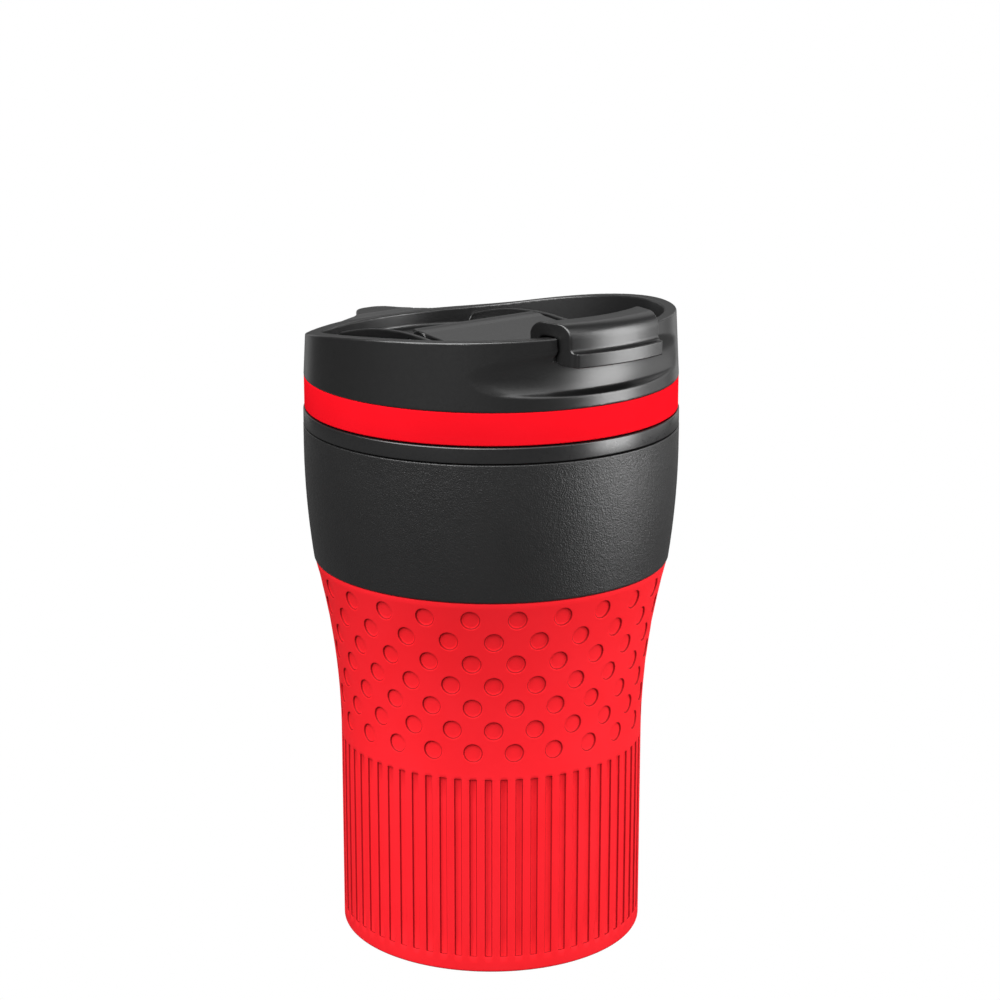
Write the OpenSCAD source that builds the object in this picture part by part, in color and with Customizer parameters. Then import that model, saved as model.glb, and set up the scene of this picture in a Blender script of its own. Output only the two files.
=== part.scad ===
// Double-wall travel mug with a moulded silicone sleeve and a push-on lid with a flip lever.
// The origin is the centre of the standing face, +Z is up and the drinking side is -Y.

/* [Cup] */
// Diameter of the straight lower part of the sleeve
base_d = 69.5; // [66:0.5:74]
// Height at which the sleeve starts to flare
flare_z = 46.8; // [44:0.2:50]
// Radius of the flare, seen from the side
flare_arc = 163; // [155:1:175]
// Height of the seam between the sleeve and the grip band
seam_z = 88.9; // [87.6:0.1:90]
// Diameter of the cup under the collar
top_d = 84.5; // [83.6:0.1:85]
// Height of the top of the grip band
band_top_z = 120.1; // [118:0.1:120.2]
// Thickness of the sleeve and of the grip band
skin = 1.9; // [1.6:0.1:2.2]

/* [Sleeve pattern] */
// Number of upright slots around the lower sleeve
slot_count = 64; // [48:1:72]
// Width of one slot
slot_w = 1.5; // [0.8:0.1:2]
// Depth of one slot
slot_depth = 0.5; // [0.3:0.1:0.8]
// Lower end of the slots
slot_z0 = 4.4; // [3:0.1:8]
// Upper end of the slots
slot_z1 = 46.6; // [30:0.1:46.7]
// Number of dimples in one row
dimple_count = 24; // [18:1:26]
// Number of dimple rows
dimple_rows = 7; // [1:1:7]
// Diameter of one dimple
dimple_d = 4.2; // [3:0.1:4.8]
// Depth of one dimple
dimple_depth = 0.5; // [0.3:0.1:0.8]

/* [Lid] */
// Diameter of the lid at its lower edge
lid_d = 84.0; // [83.6:0.1:84.4]
// Height of the red ring under the lid
ring_h = 7.1; // [5:0.1:7.3]
// Height of the rim at the back of the lid
rim_back_z = 137.95; // [137.6:0.05:138.3]
// Rim rise per millimetre at its steepest
rim_slope = 0.21; // [0.17:0.01:0.22]
// Depth of the plug inside the mouth of the cup
plug_depth = 10.6; // [9:0.1:14]

/* [Lever] */
// Half of the width of the lever plate
lever_half_w = 17.0; // [16.4:0.1:17.4]
// Narrowing of the lever per millimetre towards the hook, on each side
lever_taper = 0.17; // [0.15:0.01:0.19]
// Diameter of the hinge pins
pin_d = 2.5; // [2:0.1:2.6]
// Diameter of the drinking hole
drink_d = 12; // [8:0.5:12]

/* [Hidden] */
$fn = 96;
eps = 0.05;
base_r = base_d / 2;
top_r = top_d / 2;
band_arc = 185;
band_arc_z = 115.5;
steel = 0.8;
foot_z = 0.65;
pad_gap = 0.8;
skin_gap = 0.08;
shell_z0 = 2.4;
shell_z1 = 122;
lip_t = 0.6;
collar_z1 = 123.6;
collar_r = 42.2;
mouth_r = 37.4;
liner_r = 29.2;
liner_z0 = 8;

part_gap = 0.3;
lid_z0 = collar_z1 + part_gap;
ring_z1 = lid_z0 + ring_h;
lid_r = lid_d / 2;
ring_r = lid_r - 0.05;
neck_r = 39.9;
taper = 0.055;
rim_max_z = 147;
floor_z = 134.55;
floor_t = 2.2;
bowl_r0 = 37.1;
bowl_draft = 0.12;
plug_r = 36.7;
plug_z0 = lid_z0 - plug_depth - 0.4;
plug_wall = 1.8;
gasket_z = [116, 120.2];
gasket_h = 1.6;
duct_wall = 1.5;

s_back = 42;
s_bend = 27;
s_flat = 18;
bend_arc = 96;
crown_arc = 275;

pivot_s = -4;
pivot_z = 139;
barrel_r = 2.4;
cheek_x = 18.8;
cheek_t = 1.1;
pin_recess = 0.3;
cheek_arch = 85;
cheek_top_z = 141.35;
plate_back_s = -6.5;
plate_back_z = 141.8;
plate_drop = 0.085;
plate_t = 2.2;
stopper_s = 20;
seal_r = 7.6;
boss_r = 5;
boss_z = 135.4;
hook_back_r = 33.9;
hook_leg_r = 40.2;
hook_top_z = 149.25;
hook_under_z = 146.25;
hook_w0 = 19.4;
lip_z0 = 140.4;
lip_z1 = 143.5;
notch_z = 141;
notch_top_z = 145.9;
notch_gap = 0.35;
lug_half_w = 5.5;
lug_tip_s = 47.4;
lug_lift = 0.55;
vent_s = -24;

red = "#f0202c";
black = "#2b2b2b";
grip_black = "#383838";
gloss_black = "#1c1c1c";
steel_grey = "#b9bcbf";
seal_white = "#dcdcd8";

// Distances along the drinking direction are called s: s grows from the back of the lid to the
// drinking side, so a point at s lies at y = -s.

function flare_r(z) = base_r + pow(max(0, z - flare_z), 2) / (2 * flare_arc);
function band_r(z) = top_r - pow(max(0, band_arc_z - z), 2) / (2 * band_arc);
function body_r(z) = z < seam_z ? flare_r(z) : band_r(z);
function steps(a, b, n) = [for (i = [0:n]) a + (b - a) * i / n];

// Height of the rim at s: level on the thumb lug, a hollow bend, then a long crown to the front
function rim_z(s) =
    s < -39 ? rim_z(-39) + lug_lift * min(1, (-39 - s) / 2.2)
    : s < -s_bend ? rim_back_z + 0.03 * (s + s_back) + pow(s + s_back, 2) / (2 * bend_arc)
    : s < s_flat ? rim_z(-s_bend - eps) + rim_slope * (s + s_bend) - pow(s + s_bend, 2) / (2 * crown_arc)
    : rim_z(s_flat - eps) + (rim_slope - (s_flat + s_bend) / crown_arc) * (s - s_flat);

function lid_wall_r(z) = lid_r - taper * (z - ring_z1);
function plate_z(s) = plate_back_z - plate_drop * (s - plate_back_s);
function cheek_z(s) = cheek_top_z - pow(s + 5, 2) / (2 * cheek_arch);
function lever_w(s) = min(lever_half_w, hook_w0 - lever_taper * s);

// A ring with a rectangular section
module ring(r0, r1, z0, z1) {
    rotate_extrude() translate([r0, z0]) square([r1 - r0, z1 - z0]);
}

// Extrudes a side view drawn in (s, z) across the mug from x0 to x1
module side_view(x0, x1) {
    translate([x0, 0, 0])
        rotate([90, 0, -90]) mirror([0, 0, 1]) linear_extrude(x1 - x0) children();
}

module inner_liner() {
    z_wall = concat([liner_z0 + 4, 50], steps(58, 104, 8), [shell_z1]);
    function inside_r(z) =
        z < 51 ? liner_r
        : z < 106 ? min(mouth_r, liner_r + (mouth_r - liner_r) * pow((z - 50) / 54, 1.35))
        : mouth_r;
    color(steel_grey) rotate_extrude() polygon(concat(
        [[0, liner_z0], [liner_r - 4, liner_z0]],
        [for (z = z_wall) [inside_r(z), z]],
        [[mouth_r, shell_z1 + lip_t], [band_r(shell_z1) - skin, shell_z1 + lip_t]],
        [[band_r(shell_z1) - skin, shell_z1], [mouth_r + steel, shell_z1]],
        [for (i = [len(z_wall) - 2:-1:0]) [inside_r(z_wall[i]) + steel, z_wall[i]]],
        [[liner_r - 4 + steel, liner_z0 - steel], [0, liner_z0 - steel]]
    ));
}

module outer_shell() {
    z_wall = concat([shell_z0 + 1.5, flare_z], steps(flare_z + 5, seam_z - 1, 7), steps(seam_z + 1, 119, 7), [shell_z1]);
    color(steel_grey) rotate_extrude() polygon(concat(
        [[base_r - skin - 3, shell_z0], [base_r - skin - 1.5, shell_z0]],
        [for (z = z_wall) [body_r(z) - skin, z]],
        [for (i = [len(z_wall) - 1:-1:0]) [body_r(z_wall[i]) - skin - steel, z_wall[i]]],
        [[base_r - skin - 1.9, shell_z0 + steel], [base_r - skin - 3, shell_z0 + steel]]
    ));
}

module bottom_plate() {
    color(steel_grey) difference() {
        union() {
            ring(0, base_r - skin - 3, shell_z0, shell_z0 + steel);
            ring(0, 9, shell_z0 + steel, shell_z0 + 2 * steel);
        }
        translate([0, 0, shell_z0 - 1]) cylinder(r = 2, h = 4);
    }
}

module vacuum_cap() {
    color(steel_grey) union() {
        translate([0, 0, shell_z0]) cylinder(r = 2, h = 2 * steel);
        translate([0, 0, shell_z0 - 0.8]) cylinder(r = 6, h = 0.8);
    }
}

// Non-slip foot with a shallow groove, and a pocket on top for the vacuum cap
module base_pad() {
    color(grip_black) difference() {
        ring(0, base_r - skin - pad_gap, 0, shell_z0);
        ring(22, 24, -1, 0.6);
        translate([0, 0, shell_z0 - 0.9]) cylinder(r = 6.1, h = 2);
    }
}

module slots() {
    for (i = [0:slot_count - 1])
        rotate([0, 0, i * 360 / slot_count - 90])
            translate([base_r - slot_depth, -slot_w / 2, slot_z0])
                cube([slot_depth + 1, slot_w, slot_z1 - slot_z0]);
}

// Row 0 is the lowest one; the rows are staggered by half a dimple
module dimples() {
    pitch_z = 5.305;
    first_z = 52.85;
    for (row = [0:dimple_rows - 1]) {
        z = first_z + row * pitch_z;
        lean = atan((z - flare_z) / flare_arc);
        for (i = [0:dimple_count - 1])
            rotate([0, 0, (i + (row % 2) / 2) * 360 / dimple_count - 90])
                translate([flare_r(z) - dimple_depth, 0, z])
                    rotate([0, 90 + lean, 0]) cylinder(d = dimple_d, h = dimple_depth + 1, $fn = 32);
    }
}

module grip_sleeve() {
    color(red) difference() {
        rotate_extrude() polygon(concat(
            [[base_r - skin + skin_gap, foot_z], [base_r - 0.7, foot_z], [base_r, foot_z + 0.7]],
            [for (z = concat([flare_z], steps(flare_z + 4, seam_z, 9))) [flare_r(z), z]],
            [for (z = concat(steps(seam_z, flare_z + 4, 9), [flare_z])) [flare_r(z) - skin + skin_gap, z]]
        ));
        slots();
        dimples();
    }
}

module grip_band() {
    z_wall = concat(steps(seam_z + 2.5, band_arc_z, 8), [band_top_z]);
    color(grip_black) rotate_extrude() polygon(concat(
        [[band_r(seam_z) - skin + skin_gap, seam_z], [band_r(seam_z) - 0.25, seam_z]],
        [[band_r(seam_z) + 0.02, seam_z + 0.3]],
        [for (z = z_wall) [band_r(z), z]],
        [for (i = [len(z_wall) - 1:-1:0]) [band_r(z_wall[i]) - skin + skin_gap, z_wall[i]]]
    ));
}

module collar_ring() {
    inner_r = band_r(shell_z1) - skin;
    color(gloss_black) rotate_extrude() polygon([
        [inner_r, band_top_z], [collar_r, band_top_z],
        [collar_r, collar_z1 - 0.6], [collar_r - 0.6, collar_z1],
        [mouth_r + 0.8, collar_z1], [mouth_r + 0.8, shell_z1 + lip_t], [inner_r, shell_z1 + lip_t]
    ]);
}

// Everything above the rim curve
module above_rim() {
    s_list = concat([-s_back - 12, -41.2, -39], steps(-37.2, -28, 5), steps(-24, 18, 14), [s_back + 12]);
    side_view(-60, 60) polygon(concat(
        [for (s = s_list) [s, rim_z(s)]],
        [[s_back + 12, 170], [-s_back - 12, 170]]
    ));
}

// The wall of the bowl leans outward towards the rim
module bowl() {
    depth = rim_max_z + 3 - floor_z;
    translate([0, 0, floor_z]) cylinder(r1 = bowl_r0, r2 = bowl_r0 + bowl_draft * depth, h = depth);
}

// Thumb lug at the back of the rim, blended into the wall by two hollow corners
module lug() {
    corner = 4.6;
    hollow = 4;
    translate([0, 0, rim_back_z - 5]) linear_extrude(8) difference() {
        union() {
            translate([-lug_half_w - 3.2, 38]) square([2 * lug_half_w + 6.4, 6.7]);
            translate([corner - lug_half_w, 38]) square([2 * (lug_half_w - corner), lug_tip_s - 38]);
            for (side = [-1, 1]) translate([side * (lug_half_w - corner), lug_tip_s - corner]) circle(r = corner);
        }
        for (side = [-1, 1]) translate([side * (lug_half_w + hollow), 44.6]) circle(r = hollow);
    }
}

// Lens-shaped finger scoop in the wall under the hook, turned about an axis in the middle of the lid
module scoop() {
    axis_s = -11.5;
    function face_r(z) = 50.62 + pow(z - 138.4, 2) / 14 + 0.9 * pow(max(0, 134.9 - z), 2);
    z_list = [133.4, 134, 134.5, 135, 136, 137.2, 138.4, 139.6, 140.8, 142, 143.2, 144.6];
    translate([0, -axis_s, 0]) rotate_extrude() polygon(concat(
        [for (z = z_list) [face_r(z), z]], [[60, 144.6], [60, 133.4]]
    ));
}

// Notch in the wall that lets the leg of the hook sit flush; its back follows the leg's swing
module notch() {
    intersection() {
        rotate_extrude() polygon([
            [39.9, notch_z], [39.9, 142.5], [39.75, 144], [39.45, notch_top_z], [30, notch_top_z], [30, 150], [46, 150], [46, notch_z]
        ]);
        lever_wedge(notch_gap, 30, 46);
    }
}

// Wedge between the two sides of the lever from s0 to s1, wider by gap on each side
module lever_wedge(gap, s0, s1) {
    mirror([0, 1, 0]) translate([0, 0, 130]) linear_extrude(30) polygon([
        [-lever_w(s0) - gap, s0], [lever_w(s0) + gap, s0], [lever_w(s1) + gap, s1], [-lever_w(s1) - gap, s1]
    ]);
}

module cheek() {
    s_list = steps(-30.2, 13, 10);
    side_view(0, cheek_t) polygon(concat(
        [[-31.8, floor_z - eps], [-31.8, 135.8], [-31.3, 136.8]],
        [for (s = s_list) [s, cheek_z(s)]],
        [[15.5, 138], [15.5, floor_z - eps]]
    ));
}

module lid_body() {
    color(black) difference() {
        union() {
            difference() {
                union() {
                    rotate_extrude() polygon([
                        [0, floor_z - floor_t], [neck_r - 3, floor_z - floor_t], [neck_r - 3, ring_z1 - 3],
                        [mouth_r - 0.5, lid_z0 + 0.1], [mouth_r - 0.5, lid_z0], [neck_r + 0.9, lid_z0],
                        [neck_r + 0.9, lid_z0 + 0.6], [neck_r, lid_z0 + 0.6], [neck_r, ring_z1],
                        [lid_r, ring_z1], [lid_wall_r(rim_max_z), rim_max_z], [0, rim_max_z]
                    ]);
                    lug();
                }
                bowl();
                above_rim();
            }
            translate([cheek_x, 0, 0]) cheek();
            translate([-cheek_x - cheek_t, 0, 0]) cheek();
        }
        scoop();
        notch();
        translate([0, -stopper_s, floor_z - floor_t - 1]) cylinder(d = drink_d, h = 5);
        translate([0, -vent_s, floor_z - floor_t - 1]) cylinder(d = 3, h = 5);
        translate([-30, -pivot_s, pivot_z]) rotate([0, 90, 0]) cylinder(d = pin_d, h = 60);
    }
}

module lid_band() {
    color(red) rotate_extrude() polygon([
        [neck_r + 1, lid_z0], [ring_r - 0.3, lid_z0], [ring_r, lid_z0 + 0.3], [ring_r, ring_z1 - 0.3],
        [ring_r - 0.3, ring_z1], [neck_r, ring_z1], [neck_r, lid_z0 + 0.7], [neck_r + 1, lid_z0 + 0.7]
    ]);
}

// The insert closes the underside of the lid, forms the plug and carries the drinking duct
module lid_insert() {
    duct_r = drink_d / 2 + duct_wall;
    top_z = floor_z - floor_t;
    color(black) difference() {
        union() {
            difference() {
                ring(0, plug_r, plug_z0, top_z);
                translate([0, 0, plug_z0 + plug_wall]) cylinder(r = plug_r - plug_wall - 1, h = 30);
            }
            translate([0, -stopper_s, plug_z0]) cylinder(r = duct_r, h = top_z - plug_z0);
            translate([0, -vent_s, plug_z0]) cylinder(r = 3, h = top_z - plug_z0);
        }
        for (z = gasket_z) ring(plug_r - 1.2, plug_r + 1, z, z + gasket_h);
        translate([0, -stopper_s, plug_z0 - 1]) cylinder(d = drink_d, h = 40);
        translate([0, -vent_s, plug_z0 - 1]) cylinder(d = 3, h = 40);
    }
}

// One sealing ring with a thin lip against the liner
module gasket(z) {
    lip_r = mouth_r - 0.06;
    color(seal_white) rotate_extrude() polygon([
        [plug_r - 1.2, z], [plug_r, z], [lip_r, z + 0.6], [lip_r, z + gasket_h - 0.6],
        [plug_r, z + gasket_h], [plug_r - 1.2, z + gasket_h]
    ]);
}

module lid_gasket_lower() {
    gasket(gasket_z[0]);
}

module lid_gasket_upper() {
    gasket(gasket_z[1]);
}

// Small silicone valve that lets air in through the lid
module vent_valve() {
    color(seal_white) translate([0, -vent_s, 0]) difference() {
        union() {
            translate([0, 0, floor_z]) cylinder(r = 2.6, h = 0.8);
            translate([0, 0, floor_z - 3]) cylinder(d = 3, h = 3);
        }
        translate([0, 0, floor_z - 4]) cylinder(d = 1, h = 6);
    }
}

// A steel pin from just inside the outer face of one cheek into the lever's barrel
module hinge_pin(side) {
    length = 9;
    outer_x = cheek_x + cheek_t - pin_recess;
    start_x = side < 0 ? -outer_x : outer_x - length;
    color(steel_grey) translate([start_x, -pivot_s, pivot_z]) rotate([0, 90, 0]) cylinder(d = pin_d, h = length);
}

module hinge_pin_left() {
    hinge_pin(-1);
}

module hinge_pin_right() {
    hinge_pin(1);
}

// Outline of the lever seen from above, in (x, s)
module lever_outline() {
    s_list = [plate_back_s, (hook_w0 - lever_half_w) / lever_taper, 36];
    polygon(concat([for (s = s_list) [lever_w(s), s]], [for (i = [2:-1:0]) [-lever_w(s_list[i]), s_list[i]]]));
}

// The hook as a ring about the axis of the lid: back wall, flat bridge over the rim, leg and lip
module hook_ring() {
    rotate_extrude($fn = 128) polygon([
        [hook_back_r, plate_z(34) - plate_t], [36.2, plate_z(34) - plate_t], [36.2, 145.4],
        [36.5, 146], [37.1, hook_under_z], [39.35, hook_under_z], [39.95, 145.95], [hook_leg_r, 145.3],
        [hook_leg_r, lip_z0 + 1.1], [hook_leg_r + 0.3, lip_z0 + 0.35], [hook_leg_r + 1.1, lip_z0],
        [45.2, lip_z0], [45.5, lip_z0 + 0.3], [45.5, lip_z1 - 0.3], [45.2, lip_z1], [44.4, lip_z1 + 0.1], [43.9, lip_z1 + 0.5],
        [43.75, lip_z1 + 1.1], [43.75, 146], [43.5, 147.2], [42.9, 148.2], [41.9, 148.95], [40.5, hook_top_z],
        [37.1, hook_top_z], [35.7, 148.85], [34.7, 148.05], [34.1, 146.9], [hook_back_r, 145.4]
    ]);
}

module flip_lever() {
    color(black) difference() {
        union() {
            intersection() {
                mirror([0, 1, 0]) translate([0, 0, 130]) linear_extrude(20) lever_outline();
                side_view(-20, 20) polygon([
                    [plate_back_s, plate_back_z], [plate_back_s, plate_back_z - plate_t],
                    [pivot_s + 3, plate_z(0) - plate_t], [36, plate_z(36) - plate_t], [36, plate_z(36)]
                ]);
                translate([0, 0, 130]) cylinder(r = 35.4, h = 20);
            }
            translate([-lever_half_w, -pivot_s, pivot_z]) rotate([0, 90, 0]) cylinder(r = barrel_r, h = 2 * lever_half_w);
            intersection() {
                hook_ring();
                lever_wedge(0, 28, 47);
            }
            translate([0, -stopper_s, boss_z]) cylinder(r = boss_r, h = 2.4);
        }
        translate([-30, -pivot_s, pivot_z]) rotate([0, 90, 0]) cylinder(d = pin_d + 0.1, h = 60);
    }
}

// Silicone cap on the boss under the lever; it closes the drinking hole from above
module stopper_seal() {
    z0 = floor_z + part_gap;
    color(seal_white) translate([0, -stopper_s, 0]) difference() {
        translate([0, 0, z0]) cylinder(r = seal_r, h = 1.1);
        translate([0, 0, boss_z]) cylinder(r = boss_r, h = 3);
    }
}

inner_liner();
outer_shell();
bottom_plate();
vacuum_cap();
base_pad();
grip_sleeve();
grip_band();
collar_ring();
lid_body();
lid_band();
lid_insert();
lid_gasket_lower();
lid_gasket_upper();
vent_valve();
hinge_pin_left();
hinge_pin_right();
flip_lever();
stopper_seal();
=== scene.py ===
"""Looks of the travel mug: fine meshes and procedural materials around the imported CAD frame."""
import math

import bpy
import numpy as np
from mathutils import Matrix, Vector


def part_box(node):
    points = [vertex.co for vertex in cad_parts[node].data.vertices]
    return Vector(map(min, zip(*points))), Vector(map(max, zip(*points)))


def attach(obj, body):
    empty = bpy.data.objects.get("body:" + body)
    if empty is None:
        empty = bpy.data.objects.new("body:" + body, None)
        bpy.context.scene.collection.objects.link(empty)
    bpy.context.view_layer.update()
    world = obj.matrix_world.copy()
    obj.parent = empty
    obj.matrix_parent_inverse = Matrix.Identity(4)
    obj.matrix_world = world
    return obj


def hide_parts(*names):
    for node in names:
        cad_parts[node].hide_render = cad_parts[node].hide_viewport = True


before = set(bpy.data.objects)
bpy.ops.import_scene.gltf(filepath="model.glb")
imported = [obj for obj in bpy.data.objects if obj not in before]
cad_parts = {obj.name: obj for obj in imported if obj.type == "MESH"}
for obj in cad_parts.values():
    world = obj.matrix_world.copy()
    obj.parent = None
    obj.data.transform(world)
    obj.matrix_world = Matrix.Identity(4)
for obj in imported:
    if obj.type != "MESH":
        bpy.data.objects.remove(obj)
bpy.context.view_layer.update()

MM = 0.001

# ---------------------------------------------------------------- dimensions, in millimetres

def node_box(name):
    """Lowest and highest corner of a CAD node, in millimetres."""
    low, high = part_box(name)
    return np.array(low) / MM, np.array(high) / MM


# cup
BASE_R, FOOT_Z = 34.75, 0.65
FLARE_Z, FLARE_ARC = 46.8, 163.0
SEAM_Z = float(node_box("grip_sleeve")[1][2])
TOP_R, BAND_ARC, BAND_ARC_Z = 42.25, 185.0, 115.5
BAND_TOP = float(node_box("grip_band")[1][2])
COLLAR_R, COLLAR_IN, COLLAR_TOP = 42.2, 38.2, float(node_box("collar_ring")[1][2])
SKIN = 1.9                                      # thickness of sleeve and band
LINER_R, LINER_T, MOUTH_R, MOUTH_Z = 29.2, 0.8, 37.4, 122.6
LIP_R, LIP_T = 40.35, 0.6                       # the liner's flat lip at the mouth
PAD_R, PAD_T = 32.05, 2.4

# lid
RING_Z0, RING_Z1 = (float(corner[2]) for corner in node_box("lid_band"))
LID_R, TAPER = 42.0, 0.055
NECK_R, FLANGE_R = 39.9, 40.8
FLOOR_Z, FLOOR_T, BOWL_R = 134.55, 2.2, 37.1
PLUG_R, PLUG_Z0, PLUG_Z1 = 36.7, 112.9, 132.35
SEAL_R, SEAL_T = 35.5, 1.6                      # groove of a seal: its bottom and its width
SEALS = (("seal_lower", "lid_gasket_lower", 116.0), ("seal_upper", "lid_gasket_upper", 120.2))
RIM_BACK, BEND0, BEND1 = 137.95, -27, 18        # the rim's height at the back, s at its bends
LUG_S, LUG_R, LUG_HALF = -42.8, 4.6, 0.9
SCOOP_S, SCOOP_R, SCOOP_Z, SCOOP_FOOT = -11.5, 50.62, 138.4, 134.9
NOTCH_Z0, NOTCH_Z1, NOTCH_GAP = 141.0, 145.9, 0.35
CHEEK_X, CHEEK_HALF, CHEEK_TOP = 19.35, 0.55, 141.35
STOPPER_S, DRINK_R = 20.0, 6.0
VENT_S, VENT_R = -24.0, 1.5

# lever
PIVOT_S, PIVOT_Z, PIN_R, PIN_SPAN = -4.0, 139.0, 1.25, (10.6, 19.6)
LEVER_HALF, BARREL_R = 17.0, 2.4
PLATE_Z, PLATE_T, PLATE_S = 141.8, 2.2, -6.5
HOOK_R0, HOOK_R1, HOOK_TOP = 33.9, 43.75, 149.25
SLOT_R0, SLOT_R1, SLOT_TOP = 36.2, 40.2, 146.25
TONGUE_R, TONGUE_Z0, TONGUE_Z1 = 45.5, 140.4, 143.5
BOSS_R, BOSS_Z, STOPPER_R = 5.0, 135.4, 7.6


def flare_r(z):
    """Radius of the sleeve."""
    return BASE_R + np.maximum(0, z - FLARE_Z) ** 2 / (2 * FLARE_ARC)


def band_r(z):
    """Radius of the grip band."""
    return TOP_R - np.maximum(0, BAND_ARC_Z - z) ** 2 / (2 * BAND_ARC)


def smooth(t):
    """A step from 0 to 1 with soft ends."""
    t = np.clip(t, 0, 1)
    return t * t * (3 - 2 * t)


def rim_z(s):
    """Height of the lid's rim; s runs from the back of the lid to the drinking side, so s = -y.

    From the back it rises in a hollow curve, then in a crowned one, then straight to the front.
    """
    hollow = lambda s: RIM_BACK + 0.03 * (s + 42) + (s + 42) ** 2 / 192
    crown = lambda s: hollow(BEND0) + 0.21 * (s - BEND0) - (s - BEND0) ** 2 / 550
    back = hollow(np.maximum(s, -39)) + 0.54 * smooth((-38.9 - s) / 2.4)
    front = crown(BEND1) + (0.21 - (BEND1 - BEND0) / 275) * (s - BEND1)
    return np.where(s < BEND0, back, np.where(s < BEND1, crown(s), front))


# ---------------------------------------------------------------- mesh tools

def add_mesh(name, verts, faces, body, nodes, material, normals=None):
    """Makes a mesh object from points in millimetres and puts it in the frame."""
    mesh = bpy.data.meshes.new(name)
    verts = np.asarray(verts, float) * MM
    if isinstance(faces, np.ndarray):
        size, count = faces.shape[1], len(faces)
        mesh.vertices.add(len(verts))
        mesh.vertices.foreach_set("co", verts.ravel())
        mesh.loops.add(size * count)
        mesh.loops.foreach_set("vertex_index", faces.ravel().astype(np.int32))
        mesh.polygons.add(count)
        mesh.polygons.foreach_set("loop_start", np.arange(0, size * count, size, dtype=np.int32))
        mesh.update(calc_edges=True)
    else:
        mesh.from_pydata(verts.tolist(), [], faces)
    mesh.validate()
    mesh.polygons.foreach_set("use_smooth", [True] * len(mesh.polygons))
    if normals is not None:
        mesh.normals_split_custom_set_from_vertices(normals.tolist())
    mesh.update()
    obj = bpy.data.objects.new(name, mesh)
    bpy.context.scene.collection.objects.link(obj)
    mesh.materials.append(material)
    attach(obj, body)
    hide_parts(*nodes)
    return obj


def rounded(points):
    """The points of a closed profile of (r, z, fillet radius) corners, with arcs as fillets."""
    out = []
    for i, (r, z, fillet) in enumerate(points):
        here = np.array([r, z], float)
        if fillet <= 0:
            out.append(here)
            continue
        a = np.array(points[i - 1][:2], float) - here
        b = np.array(points[(i + 1) % len(points)][:2], float) - here
        la, lb = np.linalg.norm(a), np.linalg.norm(b)
        a, b = a / la, b / lb
        angle = math.acos(float(np.clip(a @ b, -1, 1)))
        back = min(fillet / math.tan(angle / 2), 0.49 * la, 0.49 * lb)
        radius = back * math.tan(angle / 2)
        middle = (a + b) / np.linalg.norm(a + b)
        centre = here + middle * radius / math.sin(angle / 2)
        p0, p1 = here + a * back - centre, here + b * back - centre
        turn = math.atan2(p0[0] * p1[1] - p0[1] * p1[0], p0 @ p1)
        steps = max(2, int(abs(turn) / math.radians(15)))
        for k in range(steps + 1):
            c, s = math.cos(turn * k / steps), math.sin(turn * k / steps)
            out.append(centre + np.array([c * p0[0] - s * p0[1], s * p0[0] + c * p0[1]]))
    return out


def lathe(profile, segments=288):
    """Turns a closed profile of (r, z) points, given counter-clockwise, about the Z axis."""
    turn = np.linspace(0, 2 * math.pi, segments, endpoint=False)
    verts, rows = [], []
    for r, z in profile:
        if r < 1e-6:
            rows.append([len(verts)] * segments)
            verts.append((0, 0, z))
        else:
            rows.append(range(len(verts), len(verts) + segments))
            verts.extend(zip(r * np.cos(turn), r * np.sin(turn), [z] * segments))
    faces = []
    count = len(profile)
    for i in range(count):
        a, b = rows[i], rows[(i + 1) % count]
        for k in range(segments):
            m = (k + 1) % segments
            face = list(dict.fromkeys((a[k], a[m], b[m], b[k])))
            if len(face) > 2:
                faces.append(face)
    return verts, faces


def turned(name, corners, body, nodes, material, segments=288, centre=(0, 0)):
    """A piece turned from (r, z, fillet) corners about an upright axis at centre, an (x, y)."""
    verts, faces = lathe(rounded(corners), segments)
    verts = [(x + centre[0], y + centre[1], z) for x, y, z in verts]
    mark_sharp(add_mesh(name, verts, faces, body, nodes, material))


def mark_sharp(obj, degrees=32):
    """Keeps edges crisp where two smooth faces meet at a steep angle."""
    obj.data.set_sharp_from_angle(angle=math.radians(degrees))


# Distance fields: negative inside, in millimetres. Factors just under 1 allow for sloping sides.

def both(a, b, r=0.0):
    """Common part of two fields, with its edge rounded by r."""
    if r <= 0:
        return np.maximum(a, b)
    return np.minimum(-r, np.maximum(a, b)) + np.hypot(np.maximum(r + a, 0), np.maximum(r + b, 0))


def either(a, b, r=0.0):
    """Union of two fields, with its inner corner filled by r."""
    return -both(-a, -b, r)


def minus(a, b, r=0.0):
    """The field a without b, with its edge rounded by r."""
    return both(a, -b, r)


def span(v, low, high):
    """Field of the slab low < v < high."""
    return np.maximum(low - v, v - high)


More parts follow.
